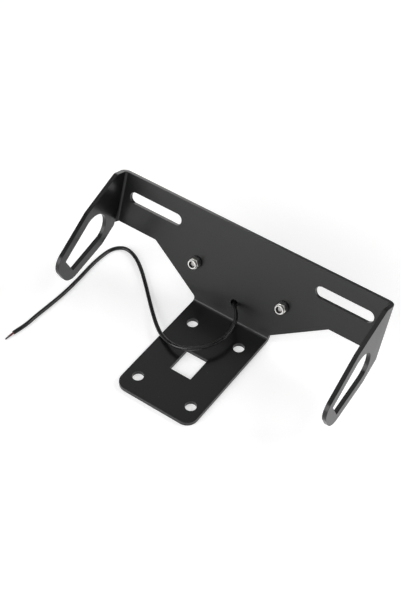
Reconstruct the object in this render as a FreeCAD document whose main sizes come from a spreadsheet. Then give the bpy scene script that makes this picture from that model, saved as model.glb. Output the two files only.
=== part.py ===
import FreeCAD, Part
import math
import operator
import os

import Sketcher
from FreeCAD import Placement, Rotation, Vector

# A motorbike's number-plate bracket with its plate lamp, in millimetres.
# One steel sheet is folded three times: a flange that bolts under the tail, a plate that leans back
# from it, and a wing at each end of the plate for a turn signal. The lamp sits on the plate's back.
# The part stands on its flange: origin at the centre of the flange's four holes, on the seat face,
# +Z up and -Y towards the flange's free end.

SIZES = {
    # Folded sheet
    "sheet_thickness": 3.0,
    "fold_radius": 2.0,
    "lean_angle": 20.0,
    "bracket_width": 210.0,
    "plate_height": 66.4,
    "arm_bottom": 28.6,
    "shoulder_width": 137.4,
    "shoulder_radius": 1.5,
    "neck_height": 2.9,
    "neck_radius": 2.0,
    # Flange
    "flange_width": 60.0,
    "flange_length": 87.5,
    "flange_corner_radius": 7.8,
    "flange_hole_diameter": 7.6,
    "front_hole_spacing": 41.8,
    "rear_hole_spacing": 37.3,
    "rear_row_distance": 17.0,
    "row_pitch": 57.0,
    "window_width": 16.5,
    "window_length": 19.2,
    "window_distance": 47.2,
    # Slots for the number plate
    "slot_spacing": 147.5,
    "slot_length": 42.7,
    "slot_width": 8.3,
    "slot_height": 50.4,
    # Wings, reach measured forward from the plate's front face and height up along the plate
    "wing_top_reach": 9.7,
    "wing_brow_reach": 36.4,
    "wing_brow_height": 45.1,
    "wing_tip_reach": 63.2,
    "wing_tip_height": 12.2,
    "wing_toe_reach": 45.2,
    "wing_toe_height": -6.4,
    "wing_heel_reach": 12.6,
    "wing_heel_height": 13.5,
    "wing_root_height": 25.4,
    "wing_tip_radius": 11.0,
    "wing_edge_radius": 3.0,
    "wing_slot_border": 7.0,
    "wing_slot_end_border": 9.0,
    "wing_slot_radius": 12.3,
    # Lamp screws, washers and lock nuts
    "screw_spacing": 69.0,
    "screw_height": 28.0,
    "screw_diameter": 4.0,
    "screw_hole_clearance": 0.5,
    "screw_end_recess": 1.6,
    "screw_end_chamfer": 0.5,
    "screw_head_diameter": 7.6,
    "screw_head_height": 2.6,
    "screw_head_crown": 1.4,
    "recess_length": 4.2,
    "recess_width": 1.0,
    "recess_depth": 1.5,
    "washer_diameter": 9.0,
    "washer_thickness": 0.8,
    "nut_across_flats": 7.0,
    "nut_height": 5.0,
    "nut_hex_height": 3.2,
    "nut_chamfer": 0.45,
    "nut_collar_diameter": 6.5,
    "nut_collar_round": 0.25,
    "nut_mouth_diameter": 4.9,
    "nut_lip": 0.5,
    "nut_collar_wall": 0.45,
    "thread_clearance": 0.1,
    "insert_clearance": 0.05,
    # Lamp
    "gasket_thickness": 1.0,
    "ear_margin": 5.5,
    "lamp_foot_width": 46.0,
    "lamp_bottom": 6.0,
    "lamp_shoulder": 20.0,
    "lamp_top": 37.0,
    "lamp_corner_radius": 5.0,
    "ear_thickness": 4.0,
    "hood_width": 50.0,
    "hood_depth": 18.0,
    "hood_toe_depth": 8.0,
    "hood_slope_height": 22.0,
    "hood_edge_radius": 2.5,
    "lens_length": 44.0,
    "lens_width": 10.5,
    "lens_setback": 5.0,
    "lens_thickness": 2.0,
    "lens_corner_radius": 1.5,
    "lens_clearance": 0.1,
    "lens_ledge": 1.2,
    "chamber_depth": 9.0,
    "board_thickness": 1.2,
    "board_clearance": 0.15,
    "led_width": 5.0,
    "led_height": 1.4,
    "led_pitch": 13.0,
    # Cable
    "cable_diameter": 2.8,
    "cable_hole_diameter": 5.5,
    "cable_hole_height": 12.8,
    "core_diameter": 1.3,
    "core_length": 4.2,
    "core_offset": 0.67,
    "core_stack_angle": 60.0,
    "conductor_diameter": 1.0,
    "conductor_length": 2.8,
}

# How many light-emitting diodes stand in a row on the lamp's board
LED_COUNT = 3

# The cable's route: out of the plate, down on to the flange, over its left edge and along the surface
# that the bracket stands on
CABLE_ROUTE = [
    (0.0, 53.636, 13.66),
    (0.0, 47.6, 15.86),
    (5.6, 44.2, 11.0),
    (6.8, 38.5, 5.2),
    (6.7, 27.5, 4.6),
    (1.5, 14.5, 4.6),
    (-12.5, 3.6, 4.6),
    (-25.5, 3.6, 8.2),
    (-35.0, 8.6, 8.0),
    (-49.5, 22.5, 3.2),
    (-78.0, 51.0, 1.5),
    (-97.5, 60.5, 1.5),
    (-107.5, 48.5, 1.5),
    (-108.0, 22.0, 1.5),
    (-106.6, -8.0, 1.5),
    (-109.3, -29.0, 1.5),
    (-110.9, -46.8, 1.5),
]

# Share of a run that an arc of the cable's path takes at each of its ends
ARC_SHARE = 0.45

# A nut is a hexagon, and the cable's section is a polygon that holds as much as the round one
NUT_SIDES = 6
CABLE_SIDES = 16

TOLERANCE = 1e-4
# How near to an edge a corner has to lie to name it
NEAR = 0.01


class Size:
    """A number together with the sheet expression that gives it."""

    def __init__(self, value, text):
        self.value = value
        self.text = text

    def _join(self, symbol, function, other, swapped=False):
        other = as_size(other)
        first, second = (other, self) if swapped else (self, other)
        return Size(function(first.value, second.value), f"({first.text} {symbol} {second.text})")

    def __add__(self, other):
        return self._join("+", operator.add, other)

    def __sub__(self, other):
        return self._join("-", operator.sub, other)

    def __rsub__(self, other):
        return self._join("-", operator.sub, other, swapped=True)

    def __mul__(self, other):
        return self._join("*", operator.mul, other)

    def __truediv__(self, other):
        return self._join("/", operator.truediv, other)

    def __neg__(self):
        return self * -1


def as_size(item):
    """Turns a plain number into a Size."""
    return item if isinstance(item, Size) else Size(float(item), str(item))


def sine(angle):
    return Size(math.sin(math.radians(angle.value)), f"sin({angle.text} * 1 deg)")


def cosine(angle):
    return Size(math.cos(math.radians(angle.value)), f"cos({angle.text} * 1 deg)")


ZERO = Size(0.0, "0")

doc = FreeCAD.newDocument("plate_lamp_bracket")
sheet = doc.addObject("Spreadsheet::Sheet", "Sizes")
for row, (alias, number) in enumerate(SIZES.items(), start=1):
    sheet.set(f"A{row}", alias)
    sheet.set(f"B{row}", str(number))
    sheet.setAlias(f"B{row}", alias)
doc.recompute()


class Dimensions:
    """Gives each driving dimension of the sheet as a Size."""

    def __getattr__(self, alias):
        return Size(SIZES[alias], f"Sizes.{alias}")


dim = Dimensions()

# Sizes that several pieces share
half_width = dim.bracket_width / 2
half_flange = dim.flange_width / 2
fold_centre = half_width - dim.sheet_thickness - dim.fold_radius
# How far each of the two flat faces of the flange's fold stands off from their sharp corner
fold_setback = dim.fold_radius * (1 - sine(dim.lean_angle)) / cosine(dim.lean_angle)
pattern_distance = dim.rear_row_distance + dim.row_pitch / 2
cut_depth = dim.sheet_thickness * 2
screw_hole = dim.screw_diameter + dim.screw_hole_clearance
lamp_seat = dim.sheet_thickness + dim.gasket_thickness
half_lamp = dim.screw_spacing / 2 + dim.ear_margin
half_foot = dim.lamp_foot_width / 2
nut_bore = dim.screw_diameter + dim.thread_clearance
nut_cavity = dim.nut_collar_diameter - dim.nut_collar_wall * 2
lens_centre = lamp_seat + dim.hood_depth - dim.lens_setback - dim.lens_width / 2
chamber_length = dim.lens_length - dim.lens_ledge * 2
chamber_width = dim.lens_width - dim.lens_ledge * 2


def place(thing, x, y, z, turn):
    """Binds a sub-part's place and its turn about X to the sheet."""
    thing.Placement = Placement(Vector(x.value, y.value, z.value), Rotation(Vector(1, 0, 0), turn.value))
    for axis, size in zip("xyz", (x, y, z)):
        thing.setExpression(f"Placement.Base.{axis}", size.text)
    thing.setExpression("Placement.Rotation.Angle", turn.text)


def place_in_plate_frame(thing):
    """Puts a sub-part whose own frame is the plate's: X across, Y out of the back, Z up the plate."""
    place(thing, ZERO, pattern_distance, dim.sheet_thickness, -dim.lean_angle)


def place_on_plate(thing, x, height, proud):
    """Stands a sub-part on the plate's front face, its own Z out of the plate towards the front."""
    out = height * sine(dim.lean_angle) - proud * cosine(dim.lean_angle)
    up = height * cosine(dim.lean_angle) + proud * sine(dim.lean_angle)
    place(thing, x, pattern_distance + out, dim.sheet_thickness + up, 90 - dim.lean_angle)


def new_body(name):
    body = doc.addObject("PartDesign::Body", name)
    body.Label = name
    return body


def new_sketch(body, name, plane, offset=(ZERO, ZERO, ZERO), turn=ZERO):
    """Attaches a sketch to one of the body's own planes, moved by offset and turned about X."""
    sketch = body.newObject("Sketcher::SketchObject", name)
    support = next(item for item in body.Origin.OriginFeatures if item.Role == plane)
    sketch.AttachmentSupport = [(support, "")]
    sketch.MapMode = "FlatFace"
    base = Vector(*(size.value for size in offset))
    sketch.AttachmentOffset = Placement(base, Rotation(Vector(1, 0, 0), turn.value))
    for axis, size in zip("xyz", offset):
        if size is not ZERO:
            sketch.setExpression(f"AttachmentOffset.Base.{axis}", size.text)
    if turn is not ZERO:
        sketch.setExpression("AttachmentOffset.Rotation.Angle", turn.text)
    return sketch


def bind(sketch, *constraint, size):
    """Adds a dimension to a sketch and ties it to the sheet."""
    index = sketch.addConstraint(Sketcher.Constraint(*constraint, size.value))
    sketch.setExpression(f"Constraints[{index}]", size.text)


def pin(sketch, geometry, point, x, y):
    """Holds a sketch point at x, y from the sketch's origin."""
    for size, axis, kind in ((x, -2, "DistanceX"), (y, -1, "DistanceY")):
        if size is ZERO:
            sketch.addConstraint(Sketcher.Constraint("PointOnObject", geometry, point, axis))
        else:
            bind(sketch, kind, -1, 1, geometry, point, size=size)


def draw_outline(sketch, corners):
    """Draws a closed outline of straight edges through the given corners."""
    points = [Vector(x.value, y.value, 0) for x, y in corners]
    edges = [
        sketch.addGeometry(Part.LineSegment(start, end), False)
        for start, end in zip(points, points[1:] + points[:1])
    ]
    for edge, following in zip(edges, edges[1:] + edges[:1]):
        sketch.addConstraint(Sketcher.Constraint("Coincident", edge, 2, following, 1))
    for edge, (x, y) in zip(edges, corners):
        pin(sketch, edge, 1, x, y)


def draw_rectangle(sketch, x, y, width, length):
    """Draws a rectangle about a centre."""
    left, right = x - width / 2, x + width / 2
    low, high = y - length / 2, y + length / 2
    draw_outline(sketch, [(left, low), (right, low), (right, high), (left, high)])


def draw_circle(sketch, x, y, diameter):
    circle = Part.Circle(Vector(x.value, y.value, 0), Vector(0, 0, 1), diameter.value / 2)
    index = sketch.addGeometry(circle, False)
    bind(sketch, "Diameter", index, size=diameter)
    pin(sketch, index, 3, x, y)


def draw_slot(sketch, x, y, length, width):
    """Draws a slot with round ends, its length along the sketch's X."""
    radius = width.value / 2
    centres = [x - (length - width) / 2, x + (length - width) / 2]
    arcs = []
    for centre, start in zip(centres, (math.pi / 2, -math.pi / 2)):
        circle = Part.Circle(Vector(centre.value, y.value, 0), Vector(0, 0, 1), radius)
        arcs.append(sketch.addGeometry(Part.ArcOfCircle(circle, start, start + math.pi), False))
    left, right = (centre.value for centre in centres)
    low, high = y.value - radius, y.value + radius
    bottom = sketch.addGeometry(Part.LineSegment(Vector(left, low, 0), Vector(right, low, 0)), False)
    top = sketch.addGeometry(Part.LineSegment(Vector(right, high, 0), Vector(left, high, 0)), False)
    joints = ((arcs[0], 2, bottom, 1), (bottom, 2, arcs[1], 1), (arcs[1], 2, top, 1), (top, 2, arcs[0], 1))
    for joint in joints:
        sketch.addConstraint(Sketcher.Constraint("Tangent", *joint))
    sketch.addConstraint(Sketcher.Constraint("Equal", arcs[0], arcs[1]))
    bind(sketch, "Radius", arcs[0], size=width / 2)
    for arc, centre in zip(arcs, centres):
        pin(sketch, arc, 3, centre, y)


def pad(body, name, sketch, length, reverse=False, symmetric=False):
    feature = body.newObject("PartDesign::Pad", name)
    feature.Profile = sketch
    feature.setExpression("Length", length.text)
    feature.Reversed = reverse
    if symmetric:
        feature.SideType = "Symmetric"
    doc.recompute()
    return feature


def pocket(body, name, sketch, depth, reverse=False):
    """Cuts a sketch into the body and makes sure that it took material away."""
    before = body.Tip.Shape.Volume
    feature = body.newObject("PartDesign::Pocket", name)
    feature.Profile = sketch
    feature.setExpression("Length", depth.text)
    feature.Reversed = reverse
    doc.recompute()
    if feature.Shape.Volume > before - TOLERANCE:
        raise RuntimeError(f"{name} cuts nothing")
    return feature


def revolve(body, name, sketch, axis, angle, reverse=False, kind="Revolution"):
    feature = body.newObject(f"PartDesign::{kind}", name)
    feature.Profile = sketch
    feature.ReferenceAxis = (sketch, [axis])
    feature.setExpression("Angle", as_size(angle).text)
    feature.Reversed = reverse
    doc.recompute()
    return feature


def edges_through(shape, direction, corners):
    """Names the straight edges that run along direction and pass through one of the corners."""
    names = []
    for index, edge in enumerate(shape.Edges, start=1):
        if edge.Degenerated or not isinstance(edge.Curve, Part.Line):
            continue
        if edge.Curve.Direction.cross(direction).Length > TOLERANCE:
            continue
        start = edge.Vertexes[0].Point
        if any((corner - start).cross(direction).Length < NEAR for corner in corners):
            names.append(f"Edge{index}")
    return names


def fillet(body, name, direction, corners, radius):
    """Rounds the edges that run along direction through the given corners."""
    base = body.Tip
    names = edges_through(base.Shape, direction, corners)
    if not names:
        raise RuntimeError(f"{name} finds no edge")
    feature = body.newObject("PartDesign::Fillet", name)
    feature.Base = (base, names)
    feature.setExpression("Radius", radius.text)
    doc.recompute()
    return feature


def mirror_across(label, source):
    """Makes one node of a sub-part and its mirror image on the other side of the middle."""
    twin = doc.addObject("Part::Mirroring", f"{label}_twin")
    twin.Source = source
    twin.Normal = Vector(1, 0, 0)
    group = doc.addObject("Part::Compound", label)
    group.Label = label
    group.Links = [source, twin]
    return group


def wing_corners():
    """The wing's outline, from the fold's top round to the fold's bottom."""
    return [
        (-dim.fold_radius, dim.plate_height),
        (-dim.wing_top_reach, dim.plate_height),
        (-dim.wing_brow_reach, dim.wing_brow_height),
        (-dim.wing_tip_reach, dim.wing_tip_height),
        (-dim.wing_toe_reach, dim.wing_toe_height),
        (-dim.wing_heel_reach, dim.wing_heel_height),
        (-dim.fold_radius, dim.wing_root_height),
    ]


def inset(start, end, distance):
    """A point and a direction on the line parallel to an edge of the wing, inside it."""
    along = (end - start).normalize()
    inward = Vector(-along.y, along.x, 0)
    return start + inward * distance, along


def meeting(first, second):
    """The point where two lines, each a point and a direction, cross."""
    (start, along), (other, across) = first, second
    share = (other - start).cross(across).z / along.cross(across).z
    return start + along * share


def draw_wing_slot(sketch):
    """Draws the wing's slot: three sides follow the wing's edges and a big arc closes them."""
    corners = wing_corners()[2:6]
    brow, tip, toe, heel = (Vector(x.value, y.value, 0) for x, y in corners)
    guides = []
    for (start, end), ends in zip(((brow, tip), (tip, toe), (toe, heel)), zip(corners, corners[1:])):
        guide = sketch.addGeometry(Part.LineSegment(start, end), True)
        for point, (x, y) in zip((1, 2), ends):
            pin(sketch, guide, point, x, y)
        guides.append(guide)
    borders = (dim.wing_slot_border, dim.wing_slot_end_border, dim.wing_slot_border)
    radius = dim.wing_slot_radius
    upper = inset(brow, tip, borders[0].value)
    end = inset(tip, toe, borders[1].value)
    lower = inset(toe, heel, borders[2].value)
    high_corner, low_corner = meeting(upper, end), meeting(end, lower)
    centre = meeting(
        inset(brow, tip, borders[0].value + radius.value),
        inset(toe, heel, borders[2].value + radius.value),
    )
    high_touch = upper[0] + upper[1] * (centre - upper[0]).dot(upper[1])
    low_touch = lower[0] + lower[1] * (centre - lower[0]).dot(lower[1])
    sides = [
        sketch.addGeometry(Part.LineSegment(high_touch, high_corner), False),
        sketch.addGeometry(Part.LineSegment(high_corner, low_corner), False),
        sketch.addGeometry(Part.LineSegment(low_corner, low_touch), False),
    ]
    start = math.atan2(low_touch.y - centre.y, low_touch.x - centre.x)
    stop = math.atan2(high_touch.y - centre.y, high_touch.x - centre.x)
    circle = Part.Circle(centre, Vector(0, 0, 1), radius.value)
    arc = sketch.addGeometry(Part.ArcOfCircle(circle, start, stop), False)
    for side, guide, border in zip(sides, guides, borders):
        sketch.addConstraint(Sketcher.Constraint("Parallel", side, guide))
        bind(sketch, "Distance", side, 1, guide, size=border)
    sketch.addConstraint(Sketcher.Constraint("Coincident", sides[0], 2, sides[1], 1))
    sketch.addConstraint(Sketcher.Constraint("Coincident", sides[1], 2, sides[2], 1))
    sketch.addConstraint(Sketcher.Constraint("Tangent", sides[2], 2, arc, 1))
    sketch.addConstraint(Sketcher.Constraint("Tangent", arc, 2, sides[0], 1))
    bind(sketch, "Radius", arc, size=radius)


def make_bracket():
    """Folds one half of the sheet panel by panel, then mirrors it and cuts what lies in the middle."""
    body = new_body("bracket")
    thickness = dim.sheet_thickness

    plate = new_sketch(body, "plate_outline", "XZ_Plane")
    half_shoulder = dim.shoulder_width / 2
    draw_outline(plate, [
        (ZERO, fold_setback),
        (half_flange, fold_setback),
        (half_flange, dim.neck_height),
        (half_shoulder, dim.arm_bottom),
        (fold_centre, dim.arm_bottom),
        (fold_centre, dim.plate_height),
        (ZERO, dim.plate_height),
    ])
    pad(body, "plate", plate, thickness, reverse=True)

    fold_axis = (ZERO, -dim.fold_radius, fold_setback)
    flange_fold = new_sketch(body, "flange_fold_section", "XY_Plane", fold_axis)
    outer_radius = dim.fold_radius + thickness
    draw_outline(flange_fold, [
        (ZERO, dim.fold_radius),
        (half_flange, dim.fold_radius),
        (half_flange, outer_radius),
        (ZERO, outer_radius),
    ])
    revolve(body, "flange_fold", flange_fold, "H_Axis", 90 - dim.lean_angle, reverse=True)

    flange = new_sketch(body, "flange_outline", "XY_Plane", turn=dim.lean_angle)
    draw_outline(flange, [
        (ZERO, -fold_setback),
        (ZERO, -dim.flange_length),
        (half_flange, -dim.flange_length),
        (half_flange, -fold_setback),
    ])
    pad(body, "flange", flange, thickness, reverse=True)

    wing_fold = new_sketch(body, "wing_fold_section", "YZ_Plane", (-dim.fold_radius, ZERO, fold_centre))
    draw_outline(wing_fold, [
        (dim.fold_radius, dim.wing_root_height),
        (outer_radius, dim.wing_root_height),
        (outer_radius, dim.plate_height),
        (dim.fold_radius, dim.plate_height),
    ])
    revolve(body, "wing_fold", wing_fold, "V_Axis", 90, reverse=True)

    wing = new_sketch(body, "wing_outline", "YZ_Plane", (ZERO, ZERO, half_width))
    draw_outline(wing, wing_corners())
    pad(body, "wing", wing, thickness, reverse=True)

    # The arm's lower edge runs down through the fold to the wing's heel
    run_out = new_sketch(body, "fold_run_out", "XZ_Plane", (ZERO, ZERO, -thickness * 2))
    outside = half_width + thickness
    slope_end = dim.wing_root_height - (dim.arm_bottom - dim.wing_root_height) / outer_radius * thickness
    draw_outline(run_out, [
        (fold_centre, dim.arm_bottom),
        (fold_centre, slope_end - thickness),
        (outside, slope_end - thickness),
        (outside, slope_end),
    ])
    pocket(body, "fold_run_out_cut", run_out, dim.sheet_thickness * 2 + dim.fold_radius, reverse=True)

    wing_slot = new_sketch(body, "wing_slot_outline", "YZ_Plane", (ZERO, ZERO, half_width))
    draw_wing_slot(wing_slot)
    pocket(body, "wing_slot", wing_slot, cut_depth)

    plate_slot = new_sketch(body, "plate_slot_outline", "XZ_Plane")
    draw_slot(plate_slot, dim.slot_spacing / 2, dim.slot_height, dim.slot_length, dim.slot_width)
    pocket(body, "plate_slot", plate_slot, cut_depth)

    screw_sketch = new_sketch(body, "screw_hole_outline", "XZ_Plane")
    draw_circle(screw_sketch, dim.screw_spacing / 2, dim.screw_height, screw_hole)
    pocket(body, "screw_hole", screw_sketch, cut_depth)

    flange_holes = new_sketch(body, "flange_hole_outlines", "XY_Plane", turn=dim.lean_angle)
    front_row = dim.rear_row_distance + dim.row_pitch
    draw_circle(flange_holes, dim.rear_hole_spacing / 2, -dim.rear_row_distance, dim.flange_hole_diameter)
    draw_circle(flange_holes, dim.front_hole_spacing / 2, -front_row, dim.flange_hole_diameter)
    pocket(body, "flange_holes", flange_holes, cut_depth)

    lean = math.radians(dim.lean_angle.value)
    flange_normal = Vector(0, -math.sin(lean), math.cos(lean))
    flange_end = Vector(0, -math.cos(lean), -math.sin(lean)) * dim.flange_length.value
    flange_corner = flange_end + Vector(half_flange.value, 0, 0)
    fillet(body, "flange_corner", flange_normal, [flange_corner], dim.flange_corner_radius)
    plate_normal = Vector(0, 1, 0)
    neck = Vector(half_flange.value, 0, dim.neck_height.value)
    fillet(body, "neck_round", plate_normal, [neck], dim.neck_radius)
    shoulder = Vector(half_shoulder.value, 0, dim.arm_bottom.value)
    fillet(body, "shoulder_round", plate_normal, [shoulder], dim.shoulder_radius)
    wing_normal = Vector(1, 0, 0)
    wing_points = [Vector(half_width.value, y.value, z.value) for y, z in wing_corners()]
    fillet(body, "wing_tip_round", wing_normal, wing_points[3:5], dim.wing_tip_radius)
    fillet(body, "wing_edge_round", wing_normal, [wing_points[1], wing_points[2], wing_points[5]],
           dim.wing_edge_radius)

    mirrored = body.newObject("PartDesign::Mirrored", "both_halves")
    mirrored.TransformMode = "Whole shape"
    middle = next(item for item in body.Origin.OriginFeatures if item.Role == "YZ_Plane")
    mirrored.MirrorPlane = (middle, [""])
    body.Tip = mirrored
    doc.recompute()

    window = new_sketch(body, "window_outline", "XY_Plane", turn=dim.lean_angle)
    draw_rectangle(window, ZERO, -dim.window_distance, dim.window_width, dim.window_length)
    pocket(body, "window", window, cut_depth)

    cable_hole = new_sketch(body, "cable_hole_outline", "XZ_Plane")
    draw_circle(cable_hole, ZERO, dim.cable_hole_height, dim.cable_hole_diameter)
    pocket(body, "cable_hole", cable_hole, cut_depth)

    place_in_plate_frame(body)
    return body


def lamp_outline_corners():
    """The foot of the lamp on the plate's back: broad at its screws, narrow towards the flange."""
    return [
        (-half_foot, dim.lamp_bottom),
        (half_foot, dim.lamp_bottom),
        (half_lamp, dim.lamp_shoulder),
        (half_lamp, dim.lamp_top),
        (-half_lamp, dim.lamp_top),
        (-half_lamp, dim.lamp_shoulder),
    ]


def make_lamp_foot(body, seat, thickness):
    """Pads the lamp's foot outline off the plate's back and rounds its corners."""
    outline = new_sketch(body, f"{body.Name}_outline", "XZ_Plane", (ZERO, ZERO, -seat))
    draw_outline(outline, lamp_outline_corners())
    pad(body, f"{body.Name}_foot", outline, thickness, reverse=True)
    corners = [Vector(x.value, seat.value, z.value) for x, z in lamp_outline_corners()]
    fillet(body, f"{body.Name}_corners", Vector(0, 1, 0), corners, dim.lamp_corner_radius)


def cut_screw_holes(body, seat, depth):
    """Drills the two screw holes through a piece of the lamp."""
    holes = new_sketch(body, f"{body.Name}_screw_holes", "XZ_Plane", (ZERO, ZERO, -seat))
    for side in (-1, 1):
        draw_circle(holes, dim.screw_spacing / 2 * side, dim.screw_height, screw_hole)
    pocket(body, f"{body.Name}_screw_cut", holes, depth)


def make_gasket():
    """A flat rubber seal between the lamp's foot and the plate's back."""
    body = new_body("lamp_gasket")
    make_lamp_foot(body, dim.sheet_thickness, dim.gasket_thickness)
    cut_screw_holes(body, dim.sheet_thickness, dim.gasket_thickness * 2)
    cable_hole = new_sketch(body, "gasket_cable_hole", "XZ_Plane", (ZERO, ZERO, -dim.sheet_thickness))
    draw_circle(cable_hole, ZERO, dim.cable_hole_height, dim.cable_hole_diameter)
    pocket(body, "gasket_cable_cut", cable_hole, dim.gasket_thickness * 2)
    place_in_plate_frame(body)
    return body


def make_housing():
    """The moulded lamp body: a foot with two ears, a hood, and a chamber that opens at the hood's top."""
    body = new_body("lamp_housing")
    make_lamp_foot(body, lamp_seat, dim.ear_thickness)
    hood = new_sketch(body, "hood_section", "YZ_Plane")
    draw_outline(hood, [
        (lamp_seat, dim.lamp_bottom),
        (lamp_seat + dim.hood_toe_depth, dim.lamp_bottom),
        (lamp_seat + dim.hood_depth, dim.hood_slope_height),
        (lamp_seat + dim.hood_depth, dim.lamp_top),
        (lamp_seat, dim.lamp_top),
    ])
    # The hood stays within the foot, whose lower corners are cut off
    pad(body, "hood", hood, dim.hood_width, symmetric=True)
    trim_foot_corners(body)
    cut_screw_holes(body, lamp_seat, dim.ear_thickness * 2)
    round_hood(body)

    recess = new_sketch(body, "lens_recess", "XY_Plane", (ZERO, ZERO, dim.lamp_top))
    draw_rectangle(recess, ZERO, lens_centre, dim.lens_length, dim.lens_width)
    pocket(body, "lens_recess_cut", recess, dim.lens_thickness)
    recess_corners = [
        Vector(x * dim.lens_length.value / 2, lens_centre.value + y * dim.lens_width.value / 2, 0)
        for x in (-1, 1)
        for y in (-1, 1)
    ]
    fillet(body, "lens_recess_corners", Vector(0, 0, 1), recess_corners, dim.lens_corner_radius)
    chamber = new_sketch(body, "chamber_outline", "XY_Plane", (ZERO, ZERO, dim.lamp_top))
    draw_rectangle(chamber, ZERO, lens_centre, chamber_length, chamber_width)
    pocket(body, "chamber", chamber, dim.lens_thickness + dim.chamber_depth)
    place_in_plate_frame(body)
    return body


def trim_foot_corners(body):
    """Cuts the hood back to the foot's slanted lower corners."""
    ear_back = lamp_seat + dim.ear_thickness
    corners = new_sketch(body, "foot_corner_cuts", "XZ_Plane", (ZERO, ZERO, -ear_back))
    for side in (-1, 1):
        draw_outline(corners, [
            (half_foot * side, dim.lamp_bottom),
            (half_lamp * side, dim.lamp_bottom),
            (half_lamp * side, dim.lamp_shoulder),
        ])
    pocket(body, "foot_corner_trim", corners, dim.hood_depth)


def round_hood(body):
    """Softens the hood's edges that face away from the plate."""
    base = body.Tip
    back = lamp_seat.value + dim.ear_thickness.value
    limit = lamp_seat.value + dim.hood_toe_depth.value
    names = []
    for index, edge in enumerate(base.Shape.Edges, start=1):
        box = edge.BoundBox
        straight = not edge.Degenerated and isinstance(edge.Curve, Part.Line)
        if straight and box.YMin > back + TOLERANCE and box.YMax > limit - TOLERANCE:
            names.append(f"Edge{index}")
    feature = body.newObject("PartDesign::Fillet", "hood_round")
    feature.Base = (base, names)
    feature.setExpression("Radius", dim.hood_edge_radius.text)
    doc.recompute()


def make_lens():
    """The clear window that closes the lamp's chamber."""
    body = new_body("lamp_lens")
    length = dim.lens_length - dim.lens_clearance * 2
    width = dim.lens_width - dim.lens_clearance * 2
    bottom = dim.lamp_top - dim.lens_thickness
    outline = new_sketch(body, "lens_outline", "XY_Plane", (ZERO, ZERO, bottom))
    draw_rectangle(outline, ZERO, lens_centre, length, width)
    pad(body, "lens_sheet", outline, dim.lens_thickness)
    corners = [
        Vector(x * length.value / 2, lens_centre.value + y * width.value / 2, 0)
        for x in (-1, 1)
        for y in (-1, 1)
    ]
    fillet(body, "lens_corners", Vector(0, 0, 1), corners, dim.lens_corner_radius)
    place_in_plate_frame(body)
    return body


def make_board():
    """The circuit board on the chamber's floor."""
    body = new_body("lamp_board")
    floor = dim.lamp_top - dim.lens_thickness - dim.chamber_depth
    outline = new_sketch(body, "board_outline", "XY_Plane", (ZERO, ZERO, floor))
    length = chamber_length - dim.board_clearance * 2
    width = chamber_width - dim.board_clearance * 2
    draw_rectangle(outline, ZERO, lens_centre, length, width)
    pad(body, "board_sheet", outline, dim.board_thickness)
    place_in_plate_frame(body)
    return body


def make_leds():
    """A row of light-emitting diodes on the board."""
    body = new_body("led_row")
    top = dim.lamp_top - dim.lens_thickness - dim.chamber_depth + dim.board_thickness
    outline = new_sketch(body, "led_outlines", "XY_Plane", (ZERO, ZERO, top))
    for index in range(LED_COUNT):
        step = dim.led_pitch * (index - (LED_COUNT - 1) / 2)
        draw_rectangle(outline, step, lens_centre, dim.led_width, dim.led_width)
    body.AllowCompound = True
    pad(body, "led_blocks", outline, dim.led_height)
    place_in_plate_frame(body)
    body.Label = "lamp_leds"
    return body


def make_screws():
    """Pan-head screws through the lamp's ears, the gasket and the plate."""
    body = new_body("lamp_screw")
    seat = -(lamp_seat + dim.ear_thickness)
    end = dim.washer_thickness + dim.nut_height - dim.screw_end_recess
    radius, head = dim.screw_diameter / 2, dim.screw_head_diameter / 2
    profile = new_sketch(body, "screw_profile", "XZ_Plane")
    draw_outline(profile, [
        (ZERO, seat - dim.screw_head_height),
        (head - dim.screw_head_crown, seat - dim.screw_head_height),
        (head, seat - dim.screw_head_height + dim.screw_head_crown),
        (head, seat),
        (radius, seat),
        (radius, end - dim.screw_end_chamfer),
        (radius - dim.screw_end_chamfer, end),
        (ZERO, end),
    ])
    revolve(body, "screw_turning", profile, "V_Axis", 360)
    for name, width, length in (
        ("recess_bar", dim.recess_length, dim.recess_width),
        ("recess_cross", dim.recess_width, dim.recess_length),
    ):
        slot = new_sketch(body, f"{name}_outline", "XY_Plane", (ZERO, ZERO, seat - dim.screw_head_height))
        draw_rectangle(slot, ZERO, ZERO, width, length)
        pocket(body, name, slot, dim.recess_depth, reverse=True)
    place_on_plate(body, dim.screw_spacing / 2, dim.screw_height, ZERO)
    return mirror_across("lamp_screws", body)


def make_washers():
    """Flat washers between the nuts and the plate."""
    body = new_body("washer")
    ring = new_sketch(body, "washer_outline", "XY_Plane")
    draw_circle(ring, ZERO, ZERO, dim.washer_diameter)
    draw_circle(ring, ZERO, ZERO, screw_hole)
    pad(body, "washer_ring", ring, dim.washer_thickness)
    place_on_plate(body, dim.screw_spacing / 2, dim.screw_height, ZERO)
    return mirror_across("washers", body)


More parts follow.
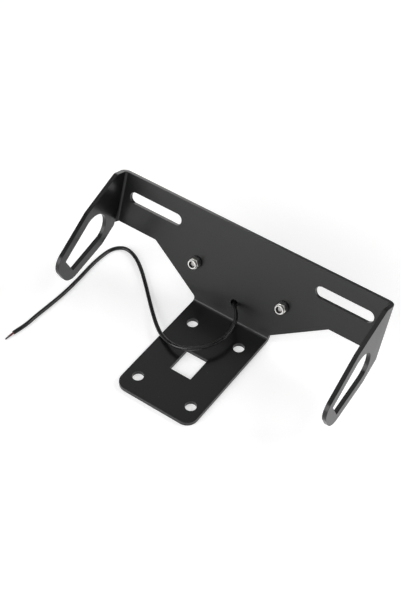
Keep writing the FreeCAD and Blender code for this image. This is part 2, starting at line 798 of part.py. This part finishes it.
def make_nuts():
    """Hexagon lock nuts with a round collar that holds the nylon insert."""
    body = new_body("lock_nut")
    prism = body.newObject("PartDesign::AdditivePrism", "nut_hexagon")
    prism.Polygon = NUT_SIDES
    across_corners = dim.nut_across_flats / cosine(as_size(180 / NUT_SIDES))
    prism.setExpression("Circumradius", (across_corners / 2).text)
    prism.setExpression("Height", dim.nut_hex_height.text)
    doc.recompute()

    collar = new_sketch(body, "collar_profile", "XZ_Plane")
    outer, cavity, mouth = dim.nut_collar_diameter / 2, nut_cavity / 2, dim.nut_mouth_diameter / 2
    root = dim.nut_hex_height - dim.nut_chamfer * 2
    draw_outline(collar, [
        (mouth, root),
        (outer, root),
        (outer, dim.nut_height - dim.nut_collar_round),
        (outer - dim.nut_collar_round, dim.nut_height),
        (mouth, dim.nut_height),
        (mouth, dim.nut_height - dim.nut_lip),
        (cavity, dim.nut_height - dim.nut_lip),
        (cavity, dim.nut_hex_height),
        (mouth, dim.nut_hex_height),
    ])
    revolve(body, "nut_collar", collar, "V_Axis", 360)

    # The hexagon's corners are turned off below the collar
    corner = across_corners / 2
    past = corner + dim.nut_chamfer
    fall = dim.nut_chamfer * 2
    chamfers = new_sketch(body, "chamfer_profile", "XZ_Plane")
    flat = dim.nut_across_flats / 2
    draw_outline(chamfers, [
        (flat, dim.nut_hex_height),
        (past, dim.nut_hex_height),
        (past, dim.nut_hex_height - fall),
    ])
    revolve(body, "nut_chamfers", chamfers, "V_Axis", 360, kind="Groove")

    bore = new_sketch(body, "nut_bore_outline", "XY_Plane")
    draw_circle(bore, ZERO, ZERO, nut_bore)
    pocket(body, "nut_bore", bore, dim.nut_height * 2, reverse=True)
    place_on_plate(body, dim.screw_spacing / 2, dim.screw_height, dim.washer_thickness)
    return mirror_across("lock_nuts", body)


def make_inserts():
    """Nylon rings inside the nuts' collars."""
    body = new_body("nut_insert")
    ring = new_sketch(body, "insert_outline", "XY_Plane")
    draw_circle(ring, ZERO, ZERO, nut_cavity - dim.insert_clearance * 2)
    draw_circle(ring, ZERO, ZERO, nut_bore)
    pad(body, "insert_ring", ring, dim.nut_height - dim.nut_lip - dim.nut_hex_height)
    stand = dim.washer_thickness + dim.nut_hex_height
    place_on_plate(body, dim.screw_spacing / 2, dim.screw_height, stand)
    return mirror_across("nut_inserts", body)


def rounded_path(points):
    """Straight runs joined by tangent arcs, each arc as large as its two runs allow."""
    edges = []
    radii = []
    start = points[0]
    for before, corner, after in zip(points, points[1:], points[2:]):
        back, ahead = (before - corner), (after - corner)
        reach = ARC_SHARE * min(back.Length, ahead.Length)
        back.normalize()
        ahead.normalize()
        half_turn = (math.pi - back.getAngle(ahead)) / 2
        radius = reach / math.tan(half_turn)
        first, last = corner + back * reach, corner + ahead * reach
        bisector = (back + ahead).normalize()
        centre = corner + bisector * (radius / math.cos(half_turn))
        middle = centre - bisector * radius
        edges.append(Part.LineSegment(start, first).toShape())
        edges.append(Part.Arc(first, middle, last).toShape())
        radii.append(radius)
        start = last
    edges.append(Part.LineSegment(start, points[-1]).toShape())
    return Part.Wire(edges), radii


def cable_bar(path, diameter):
    """A solid along a path, whose many-sided section has the area of a circle of that diameter."""
    start = path.Edges[0].Vertexes[0].Point
    tangent = path.Edges[0].tangentAt(path.Edges[0].FirstParameter)
    across = Vector(1, 0, 0)
    upward = tangent.cross(across)
    step = 2 * math.pi / CABLE_SIDES
    corner_radius = diameter / 2 * math.sqrt(step / math.sin(step))
    ring = [
        start + (across * math.cos(step * index) + upward * math.sin(step * index)) * corner_radius
        for index in range(CABLE_SIDES + 1)
    ]
    return path.makePipeShell([Part.makePolygon(ring)], True, True)


def solid_node(label, shape):
    node = doc.addObject("Part::Feature", label)
    node.Label = label
    node.Shape = shape
    node.Placement = Placement()
    return node


def make_cable():
    """The lamp's cable, and at its stripped end two cores with bare strands."""
    points = [Vector(*point) for point in CABLE_ROUTE]
    path, radii = rounded_path(points)
    jacket = cable_bar(path, dim.cable_diameter.value)
    print("cable length", round(path.Length, 1), "volume", round(jacket.Volume, 1))
    print("cable radii", [round(radius, 1) for radius in radii])
    nodes = [solid_node("cable_jacket", jacket)]

    end = points[-1]
    along = (end - points[-2]).normalize()
    level = Vector(0, 0, 1).cross(along).normalize()
    stack = Rotation(along, dim.core_stack_angle.value).multVec(level)
    core_length, strand_length = dim.core_length.value, dim.conductor_length.value
    strands = []
    for name, side in (("cable_core_red", 1), ("cable_core_black", -1)):
        root = end + stack * (side * dim.core_offset.value)
        core = Part.makeCylinder(dim.core_diameter.value / 2, core_length, root, along)
        nodes.append(solid_node(name, core))
        tip = root + along * core_length
        strands.append(Part.makeCylinder(dim.conductor_diameter.value / 2, strand_length, tip, along))
    nodes.append(solid_node("cable_conductors", Part.makeCompound(strands)))
    return nodes


def main():
    """Builds every sub-part, checks them and writes one file for each."""
    nodes = [
        make_bracket(),
        make_gasket(),
        make_housing(),
        make_board(),
        make_leds(),
        make_lens(),
        make_screws(),
        make_washers(),
        make_nuts(),
        make_inserts(),
    ]
    nodes += make_cable()
    doc.recompute()
    for item in doc.Objects:
        if "Invalid" in item.State or "Error" in item.State:
            raise RuntimeError(f"{item.Label} failed: {item.State}")
    for node in nodes:
        if node.Shape.isNull() or not node.Shape.isValid():
            raise RuntimeError(f"{node.Label} has no valid shape")
    os.makedirs("parts", exist_ok=True)
    for node in nodes:
        node.Shape.exportStep(f"parts/{node.Label}.step")
        box = node.Shape.BoundBox
        print(node.Label, len(node.Shape.Solids), "solids, volume", round(node.Shape.Volume, 1),
              [round(value, 1) for value in (box.XMin, box.XMax, box.YMin, box.YMax, box.ZMin, box.ZMax)])


main()
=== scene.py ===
"""Dresses the license plate lamp bracket and sets it in a plain studio.

Lengths are in metres, angles in radians and lamp powers in watts.
"""
import logging
import math
from dataclasses import dataclass, field
from enum import Enum
from typing import Any, Union

import bmesh
import bpy
from mathutils import Matrix, Vector


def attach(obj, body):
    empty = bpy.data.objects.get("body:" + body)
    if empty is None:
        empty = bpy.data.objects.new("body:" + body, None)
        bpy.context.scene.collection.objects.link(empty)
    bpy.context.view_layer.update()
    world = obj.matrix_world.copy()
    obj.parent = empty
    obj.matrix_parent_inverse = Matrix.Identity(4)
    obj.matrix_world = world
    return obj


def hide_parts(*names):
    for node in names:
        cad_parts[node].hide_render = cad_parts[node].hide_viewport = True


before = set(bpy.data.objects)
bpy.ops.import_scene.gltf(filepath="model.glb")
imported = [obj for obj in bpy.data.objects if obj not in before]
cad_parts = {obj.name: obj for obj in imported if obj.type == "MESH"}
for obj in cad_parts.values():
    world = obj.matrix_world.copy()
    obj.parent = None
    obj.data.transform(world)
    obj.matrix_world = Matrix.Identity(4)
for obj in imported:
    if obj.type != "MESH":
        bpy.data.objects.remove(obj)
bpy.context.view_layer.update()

log = logging.getLogger("plate_bracket")

Colour = tuple[float, float, float]
Point = tuple[float, float, float]
Feed = Union["Value", bpy.types.NodeSocket, float, Colour]

BODY = "root"
IMAGE_HEIGHT = 601
MILLIMETRE = 0.001
NOISE_MIDDLE = 0.5
WHITE: Colour = (1.0, 1.0, 1.0)


def lighter(colour: Colour, factor: float) -> Colour:
    """Makes a colour lighter.

    Args:
        colour: the colour to start from.
        factor: what each of its channels is multiplied by.

    Returns:
        The lighter colour.
    """
    red, green, blue = colour
    return (red * factor, green * factor, blue * factor)


class Mixing(Enum):
    """Sockets of a Mix node that blends colours."""

    FACTOR = 0
    FIRST = 6
    SECOND = 7
    RESULT = 2


class Value:
    """A socket that carries a number, with Python's operators as Math nodes."""

    def __init__(self, graph: "Graph", socket: bpy.types.NodeSocket) -> None:
        """Wraps one output socket of a graph."""
        self.graph = graph
        self.socket = socket

    def _math(self, operation: str, *operands: Feed) -> "Value":
        """Adds one Math node.

        Args:
            operation: the node's operation.
            operands: its inputs in order.

        Returns:
            The node's result.
        """
        inputs = dict(enumerate(operands))
        node = self.graph.node("ShaderNodeMath", {"operation": operation}, inputs)
        return Value(self.graph, node.outputs[0])

    def __add__(self, other: Feed) -> "Value":
        """Sum."""
        return self._math("ADD", self, other)

    __radd__ = __add__

    def __sub__(self, other: Feed) -> "Value":
        """Difference."""
        return self._math("SUBTRACT", self, other)

    def __rsub__(self, other: Feed) -> "Value":
        """Difference from a number."""
        return self._math("SUBTRACT", other, self)

    def __mul__(self, other: Feed) -> "Value":
        """Product."""
        return self._math("MULTIPLY", self, other)

    __rmul__ = __mul__

    def __lt__(self, other: Feed) -> "Value":
        """One where this is smaller, zero elsewhere."""
        return self._math("LESS_THAN", self, other)

    def at_most(self, limit: Feed) -> "Value":
        """The smaller of this and a limit."""
        return self._math("MINIMUM", self, limit)

    def at_least(self, limit: Feed) -> "Value":
        """The larger of this and a limit."""
        return self._math("MAXIMUM", self, limit)


class Graph:
    """A node tree that is written as calls and expressions."""

    def __init__(self, tree: bpy.types.NodeTree) -> None:
        """Takes over a tree and empties it."""
        self.tree = tree
        tree.nodes.clear()

    def node(self, kind: str, settings: dict[str, Any] | None = None,
             inputs: dict[Any, Feed] | None = None) -> bpy.types.Node:
        """Adds a node.

        Args:
            kind: the node's type.
            settings: its own properties, set first.
            inputs: a value or a link for each named or numbered socket.

        Returns:
            The new node.
        """
        made = self.tree.nodes.new(kind)
        for name, setting in (settings or {}).items():
            setattr(made, name, setting)
        for key, feed in (inputs or {}).items():
            self.feed(made.inputs[key], feed)
        return made

    def feed(self, socket: bpy.types.NodeSocket, feed: Feed) -> None:
        """Links a socket to another, or sets its own value.

        Args:
            socket: the input to feed.
            feed: a number, a colour or the output that it takes.
        """
        if isinstance(feed, Value):
            self.tree.links.new(feed.socket, socket)
        elif isinstance(feed, bpy.types.NodeSocket):
            self.tree.links.new(feed, socket)
        elif isinstance(feed, tuple) and socket.type == "RGBA":
            socket.default_value = (*feed, 1.0)
        else:
            socket.default_value = feed

    def value(self, kind: str, output: str, settings: dict[str, Any] | None = None,
              inputs: dict[Any, Feed] | None = None) -> Value:
        """Adds a node and gives one of its outputs as a number."""
        return Value(self, self.node(kind, settings, inputs).outputs[output])

    def own_place(self) -> bpy.types.NodeSocket:
        """Gives each point's place in the piece's own coordinates."""
        return self.node("ShaderNodeTexCoord").outputs["Object"]

    def blend(self, factor: Feed, first: Feed, second: Feed) -> bpy.types.NodeSocket:
        """Blends two colours.

        Args:
            factor: share of the second colour.
            first: colour at zero.
            second: colour at one.

        Returns:
            The blended colour's socket.
        """
        inputs = {
            Mixing.FACTOR.value: factor,
            Mixing.FIRST.value: first,
            Mixing.SECOND.value: second,
        }
        node = self.node("ShaderNodeMix", {"data_type": "RGBA"}, inputs)
        return node.outputs[Mixing.RESULT.value]

    def noise(self, size: float, detail: float = 2.0) -> Value:
        """Spreads noise over the piece.

        Args:
            size: how large its features are, in metres.
            detail: how many finer layers it has.

        Returns:
            The noise, zero to one.
        """
        inputs = {"Vector": self.own_place(), "Scale": 1.0 / size, "Detail": detail}
        return self.value("ShaderNodeTexNoise", "Fac", inputs=inputs)

    def bump(self, height: Value, depth: float, strength: float) -> bpy.types.NodeSocket:
        """Turns a height field into a normal.

        Args:
            height: the field, about zero to one.
            depth: how deep it is in metres.
            strength: how much of it shows.

        Returns:
            The bent normal's socket.
        """
        inputs = {"Height": height, "Distance": depth, "Strength": strength}
        return self.node("ShaderNodeBump", inputs=inputs).outputs["Normal"]


class Surface:
    """A material with one Principled shader."""

    def __init__(self, title: str) -> None:
        """Makes a material with a plain shader.

        Args:
            title: the material's name.
        """
        self.material = bpy.data.materials.new(title)
        self.material.use_nodes = True
        self.graph = Graph(self.material.node_tree)
        self.shader = self.graph.node("ShaderNodeBsdfPrincipled")
        inputs = {"Surface": self.shader.outputs["BSDF"]}
        self.graph.node("ShaderNodeOutputMaterial", inputs=inputs)

    def set(self, **feeds: Feed) -> None:
        """Feeds the shader's sockets.

        Args:
            feeds: a value or a link for each socket, named in lower case with underscores.
        """
        for name, feed in feeds.items():
            title = name.replace("_", " ").title().replace("Ior", "IOR")
            self.graph.feed(self.shader.inputs[title], feed)


@dataclass(frozen=True)
class Finish:
    """What every finish has: a name, a colour and a roughness."""

    title: str
    colour: Colour
    roughness: float

    def build(self) -> bpy.types.Material:
        """Makes the finish's material.

        Returns:
            The new material.
        """
        surface = Surface(self.title)
        self.paint(surface)
        return surface.material

    def paint(self, surface: Surface) -> None:
        """Sets up the shader; each kind of finish has its own."""
        raise NotImplementedError


@dataclass(frozen=True)
class PowderCoat(Finish):
    """Baked black powder coat: a fine grain, a faint orange peel and a few dust specks."""

    grain_size: float = 0.35 * MILLIMETRE
    grain_detail: float = 3.0
    grain_depth: float = 0.02 * MILLIMETRE
    grain_height: float = 0.7
    grain_roughness: float = 0.08
    peel_size: float = 1.6 * MILLIMETRE
    peel_height: float = 0.6
    relief: float = 0.35
    cloud_size: float = 28.0 * MILLIMETRE
    cloud_tone: float = 1.35
    cloud_roughness: float = 0.06
    speck_spacing: float = 3.5 * MILLIMETRE
    speck_radius: float = 0.175 * MILLIMETRE
    speck_share: float = 0.03
    speck_colour: Colour = (0.12, 0.12, 0.12)
    ior: float = 1.4
    gloss: float = 0.2
    gloss_roughness: float = 0.16

    def specks(self, graph: Graph) -> Value:
        """Scatters dust over the coat.

        Args:
            graph: the material's nodes.

        Returns:
            One on a speck, zero elsewhere.
        """
        cells = graph.node("ShaderNodeTexVoronoi", {"feature": "F1"}, {
            "Vector": graph.own_place(),
            "Scale": 1.0 / self.speck_spacing,
        })
        draw = graph.value("ShaderNodeSeparateColor", "Red", inputs={"Color": cells.outputs["Color"]})
        chosen = draw < self.speck_share
        near = Value(graph, cells.outputs["Distance"]) < self.speck_radius / self.speck_spacing
        return chosen * near

    def paint(self, surface: Surface) -> None:
        """Gives grain and peel as height, cloudy roughness, and specks in the colour.

        Args:
            surface: the material to set up.
        """
        graph = surface.graph
        grain = graph.noise(self.grain_size, self.grain_detail)
        peel = graph.noise(self.peel_size)
        cloud = graph.noise(self.cloud_size)
        tone = graph.blend(cloud, self.colour, lighter(self.colour, self.cloud_tone))
        uneven_cloud = self.cloud_roughness * (cloud - NOISE_MIDDLE)
        uneven_grain = self.grain_roughness * (grain - NOISE_MIDDLE)
        height = grain * self.grain_height + peel * self.peel_height
        surface.set(
            base_color=graph.blend(self.specks(graph), tone, self.speck_colour),
            roughness=self.roughness + uneven_cloud + uneven_grain,
            ior=self.ior,
            coat_weight=self.gloss,
            coat_roughness=self.gloss_roughness,
            normal=graph.bump(height, self.grain_depth, self.relief),
        )


@dataclass(frozen=True)
class Moulding(Finish):
    """Moulded plastic or rubber with an eroded tool texture."""

    texture_size: float = 0.5 * MILLIMETRE
    texture_detail: float = 4.0
    texture_depth: float = 0.03 * MILLIMETRE
    relief: float = 0.3
    cloud_size: float = 9.0 * MILLIMETRE
    cloud_tone: float = 1.4
    cloud_roughness: float = 0.12

    def paint(self, surface: Surface) -> None:
        """Gives a fine texture as height and a cloudy sheen.

        Args:
            surface: the material to set up.
        """
        graph = surface.graph
        texture = graph.noise(self.texture_size, self.texture_detail)
        cloud = graph.noise(self.cloud_size)
        surface.set(
            base_color=graph.blend(cloud, self.colour, lighter(self.colour, self.cloud_tone)),
            roughness=self.roughness + self.cloud_roughness * (cloud - NOISE_MIDDLE),
            normal=graph.bump(texture, self.texture_depth, self.relief),
        )


@dataclass(frozen=True)
class TurnedMetal(Finish):
    """Plated or bare metal with fine turning marks and a little tarnish."""

    tarnish: Colour = (0.25, 0.24, 0.22)
    tarnish_share: float = 0.3
    patch_size: float = 1.5 * MILLIMETRE
    patch_roughness: float = 0.2
    mark_size: float = 0.12 * MILLIMETRE
    mark_depth: float = 0.01 * MILLIMETRE
    relief: float = 0.25

    def paint(self, surface: Surface) -> None:
        """Gives marks as height and tarnish in the colour.

        Args:
            surface: the material to set up.
        """
        graph = surface.graph
        marks = graph.noise(self.mark_size)
        patch = graph.noise(self.patch_size)
        surface.set(
            base_color=graph.blend(patch * self.tarnish_share, self.colour, self.tarnish),
            metallic=1.0,
            roughness=self.roughness + self.patch_roughness * (patch - NOISE_MIDDLE),
            normal=graph.bump(marks, self.mark_depth, self.relief),
        )


@dataclass(frozen=True)
class ClearWindow(Finish):
    """Clear moulded window of the lamp, with faint flow lines."""

    ior: float = 1.49
    ripple_size: float = 4.0 * MILLIMETRE
    ripple_depth: float = 0.02 * MILLIMETRE
    ripple_roughness: float = 0.04
    relief: float = 0.2

    def paint(self, surface: Surface) -> None:
        """Gives full transmission with a slight ripple.

        Args:
            surface: the material to set up.
        """
        graph = surface.graph
        ripple = graph.noise(self.ripple_size)
        surface.set(
            base_color=self.colour,
            roughness=self.roughness + self.ripple_roughness * ripple,
            transmission_weight=1.0,
            ior=self.ior,
            normal=graph.bump(ripple, self.ripple_depth, self.relief),
        )


class Finishes(Enum):
    """The bracket's finishes."""

    COAT = PowderCoat("black_powder_coat", (0.0035, 0.0035, 0.0035), 0.34)
    GASKET = Moulding("gasket_rubber", (0.012, 0.012, 0.012), 0.75)
    HOUSING = Moulding("lamp_moulding", (0.010, 0.010, 0.011), 0.5)
    WINDOW = ClearWindow("lamp_window", (0.94, 0.96, 0.97), 0.04)
    BOARD = Moulding("solder_mask", (0.01, 0.09, 0.035), 0.35)
    DIODE = Moulding("diode_resin", (0.85, 0.68, 0.2), 0.3)
    ZINC = TurnedMetal("zinc_plate", (0.42, 0.41, 0.40), 0.32)
    WASHER = TurnedMetal("black_oxide", (0.035, 0.035, 0.036), 0.45, tarnish=(0.02, 0.02, 0.02))
    NUT = TurnedMetal("bright_nut", (0.86, 0.85, 0.83), 0.36)
    NYLON = Moulding("nylon_ring", (0.008, 0.0084, 0.0096), 0.45)
    JACKET = Moulding("cable_vinyl", (0.006, 0.006, 0.006), 0.28)
    CORE_RED = Moulding("core_red", (0.10, 0.010, 0.013), 0.45)
    CORE_BLACK = Moulding("core_black", (0.012, 0.012, 0.012), 0.4)
    STRAND = TurnedMetal("tinned_strand", (0.12, 0.12, 0.115), 0.5, tarnish=(0.05, 0.05, 0.05))


def dress_node(node: str, finish: Finishes) -> bpy.types.Object:
    """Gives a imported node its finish.

    Args:
        node: the node's name.
        finish: what it is finished in.

    Returns:
        The node's object.
    """
    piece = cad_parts[node]
    material = finish.value.build()
    if not piece.material_slots:
        piece.data.materials.append(material)
    for material_slot in piece.material_slots:
        material_slot.material = material
    log.info("dressed %s in %s", node, finish.value.title)
    return piece


def place_piece(piece: bpy.types.Object, node: str) -> None:
    """Links a new piece to the scene, on the part's body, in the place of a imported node.

    Args:
        piece: the new piece.
        node: the node that it stands for.
    """
    bpy.context.scene.collection.objects.link(piece)
    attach(piece, BODY)
    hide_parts(node)
    log.info("made %s", piece.name)


@dataclass
class FoldedSheet:
    """The bracket: one folded sheet whose cut edges are softened by its thick coat."""

    node: str = "bracket"
    edge_radius: float = 0.35 * MILLIMETRE
    edge_steps: int = 3
    edge_angle: float = math.radians(38.0)
    weld: float = 0.001 * MILLIMETRE
    flat_angle: float = math.radians(0.4)

    def join_flats(self) -> bpy.types.Mesh:
        """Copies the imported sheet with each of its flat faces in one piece.

        Returns:
            The new mesh.
        """
        grid = bmesh.new()
        grid.from_mesh(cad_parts[self.node].data)
        bmesh.ops.remove_doubles(grid, verts=grid.verts, dist=self.weld)
        bmesh.ops.dissolve_limit(grid, angle_limit=self.flat_angle, verts=grid.verts, edges=grid.edges)
        points = [vertex.co.copy() for vertex in grid.verts]
        grid.verts.index_update()
        faces = [[vertex.index for vertex in face.verts] for face in grid.faces]
        grid.free()
        mesh = bpy.data.meshes.new("coated_sheet")
        mesh.from_pydata(points, [], faces)
        mesh.shade_smooth()
        return mesh

    def build(self) -> bpy.types.Object:
        """Makes the sheet and rounds its edges.

        Returns:
            The coated sheet.
        """
        sheet = bpy.data.objects.new("coated_sheet", self.join_flats())
        place_piece(sheet, self.node)
        soft = sheet.modifiers.new("soft_edges", "BEVEL")
        soft.width = self.edge_radius
        soft.segments = self.edge_steps
        soft.limit_method = "ANGLE"
        soft.angle_limit = self.edge_angle
        soft.harden_normals = True
        return sheet

    def dress(self, sheet: bpy.types.Object) -> None:
        """Coats the sheet."""
        sheet.data.materials.append(Finishes.COAT.value.build())


@dataclass
class NodeGroup:
    """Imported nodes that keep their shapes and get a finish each."""

    finishes: dict[str, Finishes]

    def dress(self) -> None:
        """Finishes each node of the group."""
        for node, finish in self.finishes.items():
            dress_node(node, finish)


@dataclass
class PlateLamp(NodeGroup):
    """The lamp on the plate's back."""

    finishes: dict[str, Finishes] = field(default_factory=lambda: {
        "lamp_gasket": Finishes.GASKET,
        "lamp_housing": Finishes.HOUSING,
        "lamp_board": Finishes.BOARD,
        "lamp_leds": Finishes.DIODE,
        "lamp_lens": Finishes.WINDOW,
    })


@dataclass
class LampFixings(NodeGroup):
    """The screws that hold the lamp, with their washers and lock nuts."""

    finishes: dict[str, Finishes] = field(default_factory=lambda: {
        "lamp_screws": Finishes.ZINC,
        "washers": Finishes.WASHER,
        "lock_nuts": Finishes.NUT,
        "nut_inserts": Finishes.NYLON,
    })


@dataclass
class LampCable:
    """The lamp's loose cable and its stripped end."""

    diameter: float = 2.8 * MILLIMETRE
    length: float = 0.2809
    spline_order: int = 3
    ring_steps: int = 6
    run_steps: int = 24
    route: list[Point] = field(default_factory=lambda: [
        (0.0, 0.053636, 0.01366),
        (0.0, 0.050818, 0.014686),
        (0.0008, 0.048058, 0.015584),
        (0.0036, 0.0455, 0.0162),
        (0.0065, 0.0425, 0.0156),
        (0.0087, 0.039, 0.0146),
        (0.0099, 0.0351, 0.0134),
        (0.0103, 0.0301, 0.0124),
        (0.0098, 0.0227, 0.0115),
        (0.0056, 0.0126, 0.011),
        (-0.0029, 0.0046, 0.01),
        (-0.0137, 0.0011, 0.0084),
        (-0.0268, 0.0056, 0.0051),
        (-0.0353, 0.0113, 0.0041),
        (-0.0437, 0.0184, 0.0032),
        (-0.0534, 0.0273, 0.0021),
        (-0.0655, 0.0387, 0.0015),
        (-0.0782, 0.0498, 0.0015),
        (-0.0892, 0.0568, 0.0015),
        (-0.0988, 0.0587, 0.0015),
        (-0.1054, 0.0527, 0.0015),
        (-0.1071, 0.0428, 0.0015),
        (-0.1074, 0.0313, 0.0015),
        (-0.1064, 0.0163, 0.0015),
        (-0.1061, 0.0003, 0.0015),
        (-0.1072, -0.0147, 0.0015),
        (-0.1084, -0.0274, 0.0015),
        (-0.1087, -0.0377, 0.0015),
        (-0.1109, -0.0468, 0.0015),
    ])

    def build(self) -> bpy.types.Object:
        """Draws the jacket as one smooth spline along the route.

        Returns:
            The jacket's curve.
        """
        curve = bpy.data.curves.new("cable", "CURVE")
        curve.dimensions = "3D"
        # Each point's radius scales this bevel down to the cable's own.
        curve.bevel_depth = 1.0
        curve.bevel_resolution = self.ring_steps
        curve.resolution_u = self.run_steps
        curve.use_fill_caps = True
        spline = curve.splines.new("NURBS")
        spline.points.add(len(self.route) - 1)
        for point, place in zip(spline.points, self.route):
            point.co = (*place, 1.0)
            point.radius = self.diameter / 2
        spline.order_u = self.spline_order
        spline.use_endpoint_u = True
        cable = bpy.data.objects.new("cable", curve)
        place_piece(cable, "cable_jacket")
        return cable

    def dress(self, cable: bpy.types.Object) -> None:
        """Args:
            cable: the jacket's curve.
        """
        cable.data.materials.append(Finishes.JACKET.value.build())
        tail = [
            dress_node("cable_core_red", Finishes.CORE_RED),
            dress_node("cable_core_black", Finishes.CORE_BLACK),
            dress_node("cable_conductors", Finishes.STRAND),
        ]


@dataclass(frozen=True)
class Softbox:
    """A studio lamp: a flat panel that faces the part."""

    title: str
    place: Point
    width: float
    height: float
    power: float
    aim: Point = (0.0, 0.02, 0.03)

    def build(self) -> None:
        """Hangs the lamp and turns it to its aim."""
        lamp = bpy.data.lights.new(self.title, "AREA")
        lamp.shape = "RECTANGLE"
        lamp.size = self.width
        lamp.size_y = self.height
        lamp.energy = self.power
        piece = bpy.data.objects.new(self.title, lamp)
        piece.location = self.place
        towards = Vector(self.aim) - Vector(self.place)
        piece.rotation_euler = towards.to_track_quat("-Z", "Y").to_euler()
        bpy.context.scene.collection.objects.link(piece)


@dataclass
class Studio:
    """Pale floor, a white sweep round it, soft lamps and the camera."""

    floor_side: float = 60.0
    floor_colour: Colour = (0.74, 0.74, 0.74)
    floor_glow: float = 0.5
    glow_rise: float = 0.15
    sweep_top: float = 0.26
    sweep_fade: float = 0.10
    sweep_sheen: float = 0.15
    camera_place: Point = (0.3065, -0.4222, 0.6482)
    camera_target: Point = (-0.02476, 0.04624, 0.00502)
    camera_roll: float = math.radians(0.23)
    camera_near: float = 0.01
    focal_pixels: float = 1276.45
    # The sensor is in millimetres, as the camera takes it.
    sensor_height: float = 36.0
    lamps: list[Softbox] = field(default_factory=lambda: [
        Softbox("front_left", (-0.51, -1.19, 0.57), 1.6, 1.0, 19.5),
        Softbox("back_right", (0.86, 0.86, 0.75), 1.0, 0.7, 11.4),
        Softbox("back_left_low", (-0.82, 1.27, 0.31), 0.5, 0.4, 1.7),
        Softbox("back_left_high", (-0.66, 0.82, 0.99), 1.0, 0.7, 1.6),
        Softbox("overhead", (-0.3, -0.1, 1.45), 1.2, 1.0, 3.4),
        Softbox("front_right", (0.78, -0.86, 0.82), 1.2, 0.9, 2.4),
    ])

    def seen(self, graph: Graph, sheen: float = 1.0) -> Value:
        """Tells which rays see the white of the floor and the sweep.

        Args:
            graph: the material's or the room's nodes.
            sheen: share of the white that shows off metal and through the lamp's window.

        Returns:
            One for rays from the camera, the share for those two, and zero for the rest.
        """
        path = graph.node("ShaderNodeLightPath")
        camera = Value(graph, path.outputs["Is Camera Ray"])
        glossy = Value(graph, path.outputs["Is Glossy Ray"])
        through = Value(graph, path.outputs["Is Transmission Ray"])
        return (camera + sheen * (glossy + through)).at_most(1.0)

    def paint_floor(self) -> bpy.types.Material:
        """Makes the floor's finish: matt, with a glow that grows with the distance from the part.

        Returns:
            The floor's material.
        """
        material = bpy.data.materials.new("pale_floor")
        material.use_nodes = True
        graph = Graph(material.node_tree)
        matt = graph.node("ShaderNodeBsdfDiffuse", inputs={"Color": self.floor_colour})
        place = graph.own_place()
        reach = graph.value("ShaderNodeVectorMath", "Value", {"operation": "LENGTH"}, {0: place})
        level = (self.floor_glow + self.glow_rise * reach * reach).at_most(1.0)
        glow = graph.node("ShaderNodeEmission", inputs={"Strength": self.seen(graph) * level})
        both = graph.node("ShaderNodeAddShader", inputs={0: matt.outputs[0], 1: glow.outputs[0]})
        graph.node("ShaderNodeOutputMaterial", inputs={"Surface": both.outputs[0]})
        return material

    def build_floor(self) -> None:
        """Lays a pale floor that keeps the part's shadow and looks white."""
        half = self.floor_side / 2
        mesh = bpy.data.meshes.new("floor")
        corners = [(-half, -half, 0.0), (half, -half, 0.0), (half, half, 0.0), (-half, half, 0.0)]
        mesh.from_pydata(corners, [], [(0, 1, 2, 3)])
        mesh.materials.append(self.paint_floor())
        floor = bpy.data.objects.new("floor", mesh)
        bpy.context.scene.collection.objects.link(floor)

    def build_sweep(self) -> None:
        """Puts a white sweep behind the floor's edge, with a dark room above it."""
        world = bpy.data.worlds.new("room")
        world.use_nodes = True
        bpy.context.scene.world = world
        graph = Graph(world.node_tree)
        outward = graph.node("ShaderNodeTexCoord").outputs["Generated"]
        height = graph.value("ShaderNodeSeparateXYZ", "Z", inputs={"Vector": outward})
        fade = ((self.sweep_top - height) * (1.0 / self.sweep_fade)).at_most(1.0).at_least(0.0)
        strength = self.seen(graph, self.sweep_sheen) * fade
        glow = graph.node("ShaderNodeBackground", inputs={"Color": WHITE, "Strength": strength})
        graph.node("ShaderNodeOutputWorld", inputs={"Surface": glow.outputs[0]})

    def build_camera(self) -> None:
        """Sets the camera at the photograph's viewing angle."""
        lens = bpy.data.cameras.new("camera")
        lens.sensor_fit = "VERTICAL"
        lens.sensor_height = self.sensor_height
        lens.lens = self.focal_pixels * self.sensor_height / IMAGE_HEIGHT
        lens.clip_start = self.camera_near
        camera = bpy.data.objects.new("camera", lens)
        towards = Vector(self.camera_target) - Vector(self.camera_place)
        turn = towards.to_track_quat("-Z", "Y").to_matrix().to_4x4()
        roll = Matrix.Rotation(self.camera_roll, 4, "Z")
        camera.matrix_world = Matrix.Translation(self.camera_place) @ turn @ roll
        bpy.context.scene.collection.objects.link(camera)
        bpy.context.scene.camera = camera

    def build(self) -> None:
        """Builds the whole studio."""
        self.build_floor()
        self.build_sweep()
        for lamp in self.lamps:
            lamp.build()
        self.build_camera()
        bpy.context.scene.view_settings.view_transform = "Standard"
        log.info("built the studio")


def main() -> None:
    """Builds and dresses the part's sub-assemblies, then the studio."""
    logging.basicConfig(level=logging.INFO)
    cable = LampCable()
    cable.dress(cable.build())
    sheet = FoldedSheet()
    sheet.dress(sheet.build())
    PlateLamp().dress()
    LampFixings().dress()
    Studio().build()


if __name__ == "__main__":
    main()
